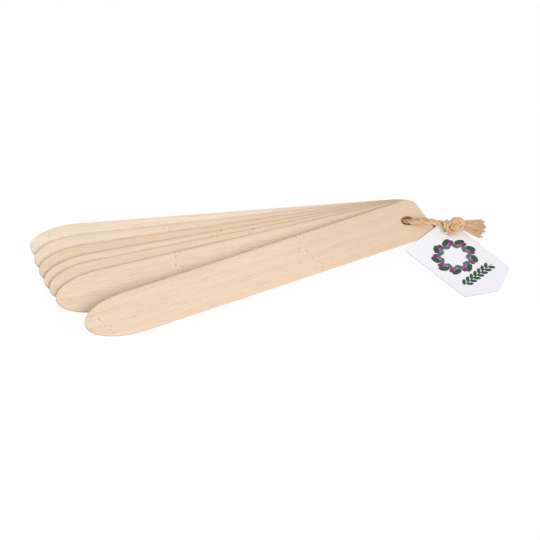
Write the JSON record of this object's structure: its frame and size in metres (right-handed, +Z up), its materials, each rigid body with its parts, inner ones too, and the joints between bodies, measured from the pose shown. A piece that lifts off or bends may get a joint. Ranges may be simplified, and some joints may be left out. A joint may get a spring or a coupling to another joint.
{
  "type": "plant label stakes",
  "caption": "Fanned bundle of flat bamboo plant label stakes, threaded on a knotted loop of twine with a card hang tag.",
  "frame": {"origin": "centre of the bounding box's bottom face, on the surface that the bundle lies on", "axes": "+X along the lowest stake towards the square ends with the holes, +Z up"},
  "size_m": [0.3111, 0.1238, 0.0259],
  "materials": {
    "bamboo": "planed, satin",
    "twine": "twisted natural fibre, matte",
    "tag_card": "smooth white card, matte"
  },
  "bodies": {
    "twine": {"twine_loop": "twine", "twine_knot": "twine", "twine_tail_upper": "twine", "twine_tail_lower": "twine"},
    "stake_1": {"stake_1": "bamboo"},
    "stake_2": {"stake_2": "bamboo"},
    "stake_3": {"stake_3": "bamboo"},
    "stake_4": {"stake_4": "bamboo"},
    "stake_5": {"stake_5": "bamboo"},
    "stake_6": {"stake_6": "bamboo"},
    "stake_7": {"stake_7": "bamboo"},
    "tag": {"hang_tag": "tag_card"}
  },
  "joints": [
    {"name": "stake_1_swing", "type": "hinge", "parent": "twine", "child": "stake_1", "pos_m": [0.08144, 0.04367, 0.0044], "axis": [-0.0156, 0, 0.9999], "range_deg": [-60, 40]},
    {"name": "stake_2_swing", "type": "hinge", "parent": "twine", "child": "stake_2", "pos_m": [0.08328, 0.04164, 0.00603], "axis": [-0.0142, 0.0001, 0.9999], "range_deg": [-60, 40]},
    {"name": "stake_3_swing", "type": "hinge", "parent": "twine", "child": "stake_3", "pos_m": [0.08513, 0.03961, 0.00766], "axis": [-0.0128, 0.0003, 0.9999], "range_deg": [-60, 40]},
    {"name": "stake_4_swing", "type": "hinge", "parent": "twine", "child": "stake_4", "pos_m": [0.08698, 0.03758, 0.00929], "axis": [-0.0096, 0.0009, 1], "range_deg": [-60, 40]},
    {"name": "stake_5_swing", "type": "hinge", "parent": "twine", "child": "stake_5", "pos_m": [0.08883, 0.03555, 0.01092], "axis": [-0.0078, 0.0014, 1], "range_deg": [-60, 40]},
    {"name": "stake_6_swing", "type": "hinge", "parent": "twine", "child": "stake_6", "pos_m": [0.09068, 0.03352, 0.01255], "axis": [-0.0061, 0.0021, 1], "range_deg": [-60, 40]},
    {"name": "stake_7_swing", "type": "hinge", "parent": "twine", "child": "stake_7", "pos_m": [0.09382, 0.03011, 0.01529], "axis": [0.0277, 0.0166, 0.9995], "range_deg": [-75, 8]},
    {"name": "tag_swing", "type": "hinge", "parent": "twine", "child": "tag", "pos_m": [0.12001, 0.01819, 0.016], "axis": [0.0526, -0.0629, 0.9966], "range_deg": [-10, 10]}
  ]
}
